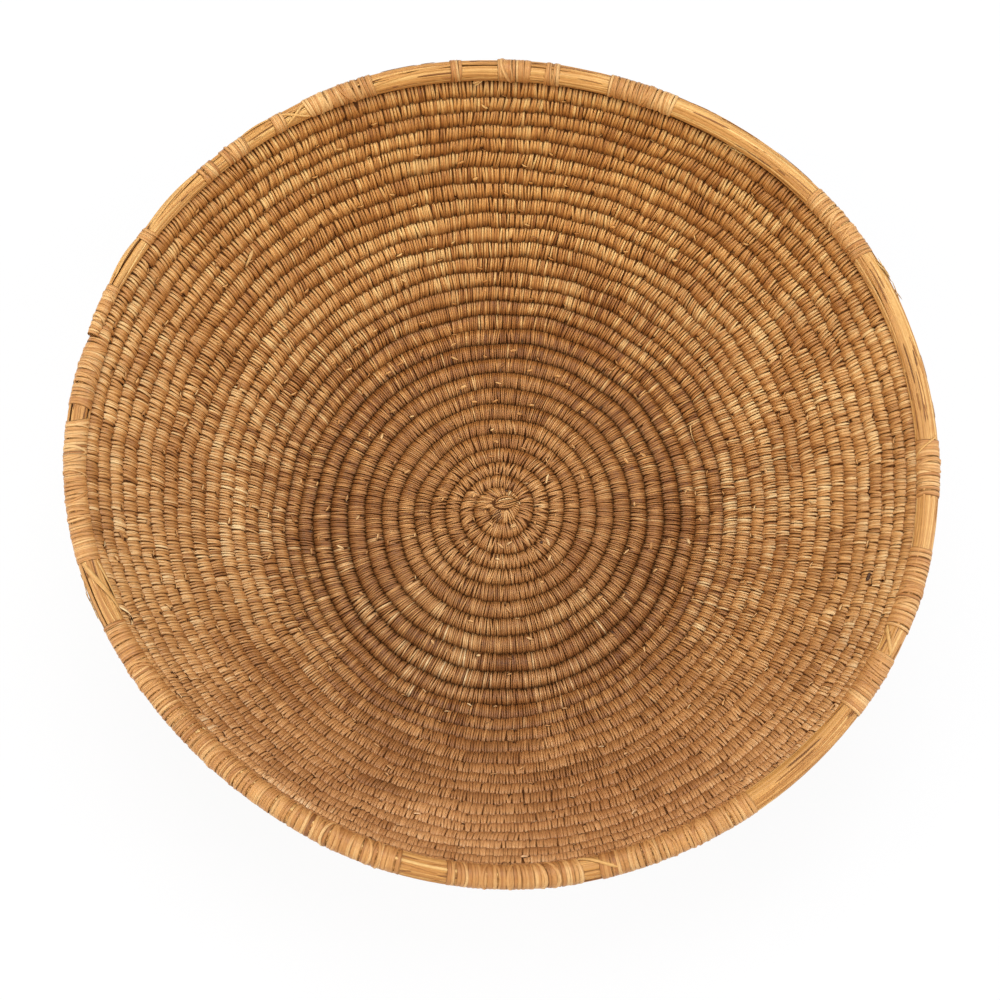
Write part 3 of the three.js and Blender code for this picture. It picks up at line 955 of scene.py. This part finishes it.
loose = {
    "frays": (                               # degrees, reach, count, alpha, its spread, lift, share of width
        (24.5, 2.5, 9, 2.5, 0.5, 1.6 * mm, 1),
        (26, 0.5, 3, 2.5, 0.15, 1.8 * mm, 2.6),
        (53, 1.5, 4, -0.5, 0.3, 1.5 * mm, 1),
        (200, 3, 7, 2.6, 0.3, 1.0 * mm, 1),
    ),
    "frayHalf": (2 * mm, 6 * mm),            # half a length
    "frayWidth": (0.35 * mm, 0.8 * mm),
    "frayThick": 0.35 * mm,
    "fraySunk": -0.2 * mm,                   # where it leaves the bundle
    "frayRise": (0.4, 1),                    # share of its lift
    "frayArch": 0.1 * mm,
    "frayTurn": 0.25,
    "frayTone": (0.65, 1),
    "slits": 200,                            # stained stems and painted shade in the gaps between stems, dark lines in the rim's grass
    "slitLength": (4 * mm, 24 * mm),
    "slitWidth": (0.3 * mm, 0.75 * mm),
    "slitThick": 0.25 * mm,
    "slitLaps": (0, 0.96),
    "slitSide": (-1, 2.6),                   # alpha
    "slitTurn": 0.12,
    "slitLift": (0.1 * mm, 0.06 * mm),       # and its spread
    "slitTone": 0.3,
    "slitDark": (0.4, 0.85),
    "crossings": (                           # degrees from and to, alpha from and to, width
        (118.3, 122.6, -0.5, 1.6, 1.6 * mm),
        (122.6, 118.3, -0.2, 1.5, 1.4 * mm),
        (195.2, 203.5, 0.1, -0.9, 2.4 * mm),
        (195.2, 204.8, 1.7, -0.8, 2.2 * mm),
        (279.5, 285.5, -0.4, 1.7, 1.5 * mm),
        (331, 335.2, 1.6, -0.2, 1.6 * mm),
        (358.6, 2.2, -0.9, 2.1, 1.3 * mm),
        (156.5, 148, 2.0, 2.1, 3.2 * mm),
        (155, 147.8, 1.5, 1.7, 2.2 * mm),
        (147, 136, 1.9, 2.1, 3.2 * mm),
        (146.9, 137, 1.2, 1.8, 2.0 * mm),
        (129, 123.4, 2.1, 2.0, 2.8 * mm),
    ),
    "crossSunk": -0.15 * mm,                 # at both ends
    "crossArch": 0.75 * mm,
    "crossThick": 0.6 * mm,
    "crossTone": 0.75,
    "ends": (                                # from and to of lap, alpha and lift, then width, dark: a dark one is a hole, painted as shade
        (-0.8925, -0.8850, 0.6, -1.5, 0.2 * mm, 1.0 * mm, 2.0 * mm, 0),
        (-0.1925, -0.1975, 1.0, 1.5, 1.6 * mm, 3.2 * mm, 1.3 * mm, 0),
        (-0.1935, -0.1970, 0.8, 1.3, 1.5 * mm, 2.8 * mm, 1.0 * mm, 0),
        (-5.0745, -5.0665, 0.2, -0.6, 0.1 * mm, 0.9 * mm, 1.3 * mm, 0),
        (-15.402, -15.386, -1.4, -0.15, 0.1 * mm, 1.2 * mm, 0.6 * mm, 0),
        (-25.559, -25.546, 0.4, -0.3, 0.1 * mm, 0.8 * mm, 1.4 * mm, 0),
        (-25.368, -25.35, -0.7, 0.0, 0.1 * mm, 1.0 * mm, 1.0 * mm, 0),
        (-28.270, -28.236, 0.45, 0.5, 0.12 * mm, 0.12 * mm, 1.4 * mm, 1),
        (-25.57, -25.56, -0.55, -0.5, 0.1 * mm, 0.1 * mm, 1.3 * mm, 1),
        (-3.504, -3.5, 0.6, 0.7, 0.12 * mm, 0.12 * mm, 1.4 * mm, 1),
    ),
    "endThick": 0.4 * mm,
    "endTone": 0.95,
    "seed": 47,
}


def rimLap(turn):
    return ((np.asarray(turn, float) - coil["endAngle"]) % 360) / 360


def makeFrays(material):
    rng = np.random.default_rng(loose["seed"])
    rows = np.repeat(loose["frays"], [row[2] for row in loose["frays"]], 0)
    turn, reach, _, alpha, apart, lift, wide = rows.T
    count = len(rows)
    middle = rimLap(turn + reach * rng.uniform(-1, 1, count))
    half = rng.uniform(*loose["frayHalf"], count) / rimRound * rng.choice((-1, 1), count)
    around = alpha + apart * rng.normal(size=count)
    liftTo = lift * rng.uniform(*loose["frayRise"], count)
    tone = rng.uniform(*loose["frayTone"], count)
    layRimStrands("rim_frays", {
        "start": middle - half, "end": middle + half,
        "from": around, "to": around + rng.normal(0, loose["frayTurn"], count),
        "liftFrom": loose["fraySunk"], "liftTo": liftTo, "arch": loose["frayArch"],
        "width": rng.uniform(*loose["frayWidth"], count) * wide, "thick": loose["frayThick"], "tone": tone,
    }, 8, 5, material)


def makeSlits(material):
    rng = np.random.default_rng(loose["seed"] + 1)
    count = loose["slits"]
    start = rng.uniform(*loose["slitLaps"], count)
    end = start + rng.uniform(*loose["slitLength"], count) / rimRound
    around = rng.uniform(*loose["slitSide"], count)
    lifts = rng.normal(*loose["slitLift"], (2, count))
    layRimStrands("rim_stains_and_gap_shade", {
        "start": start, "end": end, "from": around, "to": around + rng.normal(0, loose["slitTurn"], count),
        "liftFrom": lifts[0], "liftTo": lifts[1],
        "width": rng.uniform(*loose["slitWidth"], count), "thick": loose["slitThick"],
        "tone": loose["slitTone"], "dark": rng.uniform(*loose["slitDark"], count),
    }, 10, 5, material)


def makeCrossings(material):
    first, last, alphaFrom, alphaTo, width = np.array(loose["crossings"]).T
    start = rimLap(first)
    end = start + ((last - first + 180) % 360 - 180) / 360
    layRimStrands("rim_crossings", {
        "start": start, "end": end, "from": alphaFrom, "to": alphaTo,
        "liftFrom": loose["crossSunk"], "liftTo": loose["crossSunk"], "arch": loose["crossArch"],
        "width": width, "thick": loose["crossThick"], "tone": loose["crossTone"],
    }, 16, 6, material)


def makeLooseEnds(material):
    start, end, alphaFrom, alphaTo, liftFrom, liftTo, width, dark = np.array(loose["ends"]).T
    strands = {
        "start": start, "end": end, "from": alphaFrom, "to": alphaTo, "liftFrom": liftFrom, "liftTo": liftTo,
        "width": width, "thick": loose["endThick"], "tone": loose["endTone"] * (1 - dark), "dark": dark,
    }
    nodes = ["base_coil", "lower_wall_coil", "upper_wall_coil"]
    layStrands("loose_ends", onStitches, coil["halfThick"], strands, 8, 6, material, nodes)


makeFrays(rimLook)
makeSlits(rimLook)
makeCrossings(rimLook)
makeLooseEnds(splintLook)
print("loose bits laid")


# start knot: folded strands in a ring of fanned stitches

knot = {
    "coreThick": 2.4 * mm,                   # half of it
    "coreOver": 0.3 * mm,                    # under the first lap
    "eye": (2.0 * mm, 2.8 * mm),             # middle of the strands, from the coil's own middle
    "eyeLong": 5.8 * mm,
    "eyeWide": 3.1 * mm,
    "eyeTurn": 15,                           # degrees
    "stitch": 1.2 * mm,
    "stitchThick": 2.7 * mm,                 # half of it
    "square": 2.2,
    "stitchTone": (0.48, 0.15),              # and its spread
    "fan": (4, 356),                         # degrees from the coil's start, first and last stitch
    "fanApart": (0.85, 1.2),
    "blunt": (330, 20, 357),                 # turns of the edges that the coil's blunt start spans, its place
    "inner": (0.92, 0.85),                   # end over the eye's edge, and most of the way there
    "fanRise": (0.6, 1.5),
    "fanTilt": 0.2 * mm,
    "fanWidth": (0.9, 1.25),
    "fanNarrow": (0.8, 0.35),                # toward the eye
    "fanLean": 0.08,
    # painted shade in the valleys between the fan's stitches
    "fanGap": (0.5, 1),
    "fanCrease": (0.8, 1, 0.8),              # painted shade at its ends: from and to this far off the middle, share
    "fanStreak": 2.6,
    "strands": 6,
    "ends": 11,                              # cut ends beside them
    "endsPlace": (-5.2 * mm, -5.4 * mm),     # along and across the strands
    "slant": ((0.45, 0.2), (0, 0.06)),       # of the ends and of the strands, each with its spread
    "long": ((1.8 * mm, 3.6 * mm), (4.6 * mm, 6.1 * mm)),  # half a length, of the ends and of the strands
    "height": ((0.75 * mm, 0.25 * mm), (0.6 * mm, 0.3 * mm)),
    "tone": ((0.35, 0.2), (0.5, 0.2)),
    "thick": (0.36 * mm, 0.52 * mm),         # half of it
    "endThick": 0.75,                        # share of that
    "level": 2.1 * mm,                       # over the middle of the coil
    "sag": 1.1 * mm,                         # lower at the ends
    "seed": 83,
}
knotStart = lapTurn(coilStart) % 360         # degrees, where the coil begins


def knotEdge(turn):                          # from the middle to the first lap, turned from the coil's start
    return coil["startLength"] - coil["pitch"] / 2 + coil["pitch"] * turn / 360


def knotHeight(x, y):
    steps = bowl["slopeSteps"]
    return bowl["standHeight"] + np.interp(np.hypot(x, y), slopeRadius[:steps], slopeHeight[:steps])


def eyePoint(along, across):                 # in the strands' own directions, from the coil's middle
    angle = math.radians(knot["eyeTurn"])
    x = knot["eye"][0] + along * math.cos(angle) - across * math.sin(angle)
    y = knot["eye"][1] + along * math.sin(angle) + across * math.cos(angle)
    return x, y


def inPlace(x, y, over):
    return np.stack((x + bowl["axis"][0], y + bowl["axis"][1], knotHeight(x, y) + over), 1)


def makeKnotCore(material):
    bm = bmesh.new()
    bmesh.ops.create_uvsphere(bm, u_segments=64, v_segments=12, radius=1)
    mesh, ball = toMesh(bm, "knot_core")
    turn = (np.degrees(np.arctan2(ball[:, 1], ball[:, 0])) - knotStart) % 360
    angle = np.radians(turn + knotStart)
    radius = np.hypot(ball[:, 0], ball[:, 1]) * (knotEdge(turn) + knot["coreOver"])
    points = inPlace(radius * np.cos(angle), radius * np.sin(angle), ball[:, 2] * knot["coreThick"])
    addPiece(mesh, points, material, ["start_knot"])


def makeKnotFan(material):
    rng = np.random.default_rng(knot["seed"])
    turn = [knot["fan"][0]]
    while turn[-1] < knot["fan"][1]:
        step = math.degrees(knot["stitch"] / knotEdge(turn[-1]))
        turn.append(turn[-1] + step * rng.uniform(*knot["fanApart"]))
    outer, inner, place = knot["blunt"]
    face = np.arange(knotEdge(outer), knotEdge(inner), -knot["stitch"])
    turn = np.append(turn[:-1], place + 0 * face)
    edge = np.append(knotEdge(turn[:len(turn) - len(face)]), face)
    count = len(turn)
    angle = np.radians(turn + knotStart)
    outX, outY = edge * np.cos(angle), edge * np.sin(angle)
    eyeX, eyeY = eyePoint(0, 0)
    spin = math.radians(knot["eyeTurn"])
    along = (outX - eyeX) * math.cos(spin) + (outY - eyeY) * math.sin(spin)
    across = (outY - eyeY) * math.cos(spin) - (outX - eyeX) * math.sin(spin)
    end, most = knot["inner"]
    share = np.minimum(end / np.hypot(along / knot["eyeLong"], across / knot["eyeWide"]), most)
    inX, inY = eyePoint(along * share, across * share)
    mesh, row = toMesh(ringRow(count, stitch["around"]), "knot_stitches")
    which, side, alpha, crown = readRings(row)
    far = np.hypot(outX - inX, outY - inY)
    dirX, dirY = (outX - inX) / far, (outY - inY) / far
    rise = stitch["rise"] * rng.uniform(*knot["fanRise"], count)
    lift = crown * rise[which] + side * rng.normal(0, knot["fanTilt"], count)[which]
    up, inward = ovalSection(alpha, far[which] / 2 + lift / 2, knot["stitchThick"] + lift, knot["square"])
    width = knot["stitch"] * rng.uniform(*knot["fanWidth"], count)
    narrow = knot["fanNarrow"][0] + knot["fanNarrow"][1] * np.sin(alpha)
    sideways = side * width[which] * narrow + up * rng.normal(0, knot["fanLean"], count)[which]
    x = ((inX + outX) / 2)[which] + dirX[which] * up - dirY[which] * sideways
    y = ((inY + outY) / 2)[which] + dirY[which] * up + dirX[which] * sideways
    tone = np.clip(rng.normal(*knot["stitchTone"], count), 0, 1)
    # painted shade along each fan stitch's edges and at its ends
    gap = 1 - (1 - crown) * rng.uniform(*knot["fanGap"], count)[which]
    first, last, dark = knot["fanCrease"]
    crease = ramp(np.abs(np.sin(alpha)), first, last) * dark
    shades = tone[which], gap, crease, streakPlace(which, side * knot["fanStreak"])
    addPiece(mesh, inPlace(x, y, inward), material, ["start_knot"], shades)


def makeKnotStrands(name, face, material):   # face 1 is in the bowl, -1 under it
    rng = np.random.default_rng(knot["seed"] + 1)
    steps = 12
    count = knot["strands"] + knot["ends"]
    mesh, row = toMesh(tubeRow(count, steps, 6), name)
    which, share, beta = readTubes(row, steps)
    isEnd = np.arange(count) >= knot["strands"]

    def either(draw, key):                   # for the ends and for the strands
        return np.where(isEnd, draw(*knot[key][0], count), draw(*knot[key][1], count))[which]

    even = np.append(np.linspace(-0.85, 0.85, knot["strands"]), np.linspace(-0.8, 0.8, knot["ends"]))
    slant = either(rng.normal, "slant")
    long = either(rng.uniform, "long")
    height = either(rng.normal, "height")
    thick = (rng.uniform(*knot["thick"], count) * np.where(isEnd, knot["endThick"], 1))[which]
    tone = either(rng.normal, "tone")
    # every other cut end painted dark, as the shade of the pit among them
    dark = np.where(isEnd & (np.arange(count) % 2 > 0), 0.95, 0)[which]
    end = isEnd[which]
    t = 2 * share - 1
    thick = thick * np.clip((1 - np.abs(t)) * 5, 0.3, 1)
    bulge = np.where(end, 1, 1 - 0.55 * t ** 2)
    sideways = even[which] * knot["eyeWide"] * bulge + thick * np.sin(beta)
    along = t * long * np.cos(slant) - sideways * np.sin(slant)
    across = t * long * np.sin(slant) + sideways * np.cos(slant)
    x, y = eyePoint(along + end * knot["endsPlace"][0], across + end * knot["endsPlace"][1])
    level = knot["level"] + height - knot["sag"] * t ** 2 + thick * np.cos(beta)
    # painted shade underneath
    gap = np.clip(np.cos(beta) + 0.4, 0, 1)
    shades = np.clip(tone, 0, 1), gap, dark, streakPlace(which, 1.4 * beta)
    addPiece(mesh, inPlace(x, y, face * level), material, ["start_knot"], shades)


makeKnotCore(grassLook)
makeKnotFan(splintLook)
makeKnotStrands("knot_strands", 1, splintLook)
makeKnotStrands("knot_strands_under", -1, splintLook)
print("knot tied")


# camera, light and table

view = {
    "place": (-0.23 * mm, -204.6 * mm, 773.9 * mm),
    "tilt": 15.19,                           # degrees off straight down
    "lens": 60.9,
    "sensor": 36,
    "nearest": 0.01,
}


def makeCamera():
    data = bpy.data.cameras.new("camera")
    data.sensor_width = view["sensor"]
    data.lens = view["lens"]
    data.clip_start = view["nearest"]
    camera = bpy.data.objects.new("camera", data)
    camera.location = view["place"]
    camera.rotation_euler = (math.radians(view["tilt"]), 0, 0)
    scene.collection.objects.link(camera)
    scene.camera = camera


lamps = {
    "top": {"place": (0, 0.5, 1.35), "size": 0.9, "power": 11, "colour": (0.96, 1, 1.06)},
    "left": {"place": (-1.2, -0.1, 0.85), "size": 1.0, "power": 11.5, "colour": (1, 1, 1)},
    "right": {"place": (1.2, -0.1, 0.85), "size": 1.0, "power": 12, "colour": (0.95, 1, 1.1)},
    "front": {"place": (0, -1.3, 0.8), "size": 0.9, "power": 5.5, "colour": (1, 0.9, 0.75)},
}


def makeLamps():
    for name, lamp in lamps.items():
        data = bpy.data.lights.new(name, "AREA")
        data.size = lamp["size"]
        data.energy = lamp["power"]
        data.color = lamp["colour"]
        light = bpy.data.objects.new(name, data)
        light.location = lamp["place"]
        aim = -light.location
        light.rotation_euler = aim.to_track_quat("-Z", "Y").to_euler()
        scene.collection.objects.link(light)


def seenStraight(desk):                      # by the camera, or in something shiny or clear
    path = desk.node("ShaderNodeLightPath")
    seen = path.maths("MAXIMUM", path, path.also("Is Glossy Ray"))
    return path.maths("MAXIMUM", seen, path.also("Is Transmission Ray"))


ambient = 0.25                               # light of the white surroundings on the bowl


def makeWorld():
    world = bpy.data.worlds.new("studio")
    world.use_nodes = True
    world.node_tree.nodes.clear()
    desk = Wire(world.node_tree)
    strength = seenStraight(desk) * (1 - ambient) + ambient
    sky = desk.node("ShaderNodeBackground", None, {"Color": (1, 1, 1, 1), "Strength": strength})
    desk.node("ShaderNodeOutputWorld", None, {"Surface": sky})
    scene.world = world


board = {
    "size": 3,                               # half of it
    "stops": ((0.0, (0.86, 0.86, 0.86, 1)), (1.0, (0.9, 0.9, 0.9, 1))),
    "grain": 40,
    "white": 0.9,                            # share that is seen as plain white, the rest takes shadows
}


def makeTable():
    bm = bmesh.new()
    bmesh.ops.create_grid(bm, x_segments=1, y_segments=1, size=board["size"])
    mesh = bpy.data.meshes.new("table")
    bm.to_mesh(mesh)
    bm.free()
    table = bpy.data.objects.new("table", mesh)
    scene.collection.objects.link(table)
    material, desk = newFinish("paleTable")
    grain = noise(desk, board["grain"], 2)
    colour = desk.node("ShaderNodeValToRGB", {"stops": board["stops"]}, {"Fac": grain})
    matte = desk.node("ShaderNodeBsdfDiffuse", None, {"Color": colour})
    white = desk.node("ShaderNodeEmission", None, {"Color": (1, 1, 1, 1), "Strength": 1.0})
    share = seenStraight(desk) * board["white"]
    both = desk.node("ShaderNodeMixShader", None, {0: share, 1: matte, 2: white})
    desk.node("ShaderNodeOutputMaterial", None, {"Surface": both})
    mesh.materials.append(material)


makeCamera()
makeLamps()
makeWorld()
makeTable()
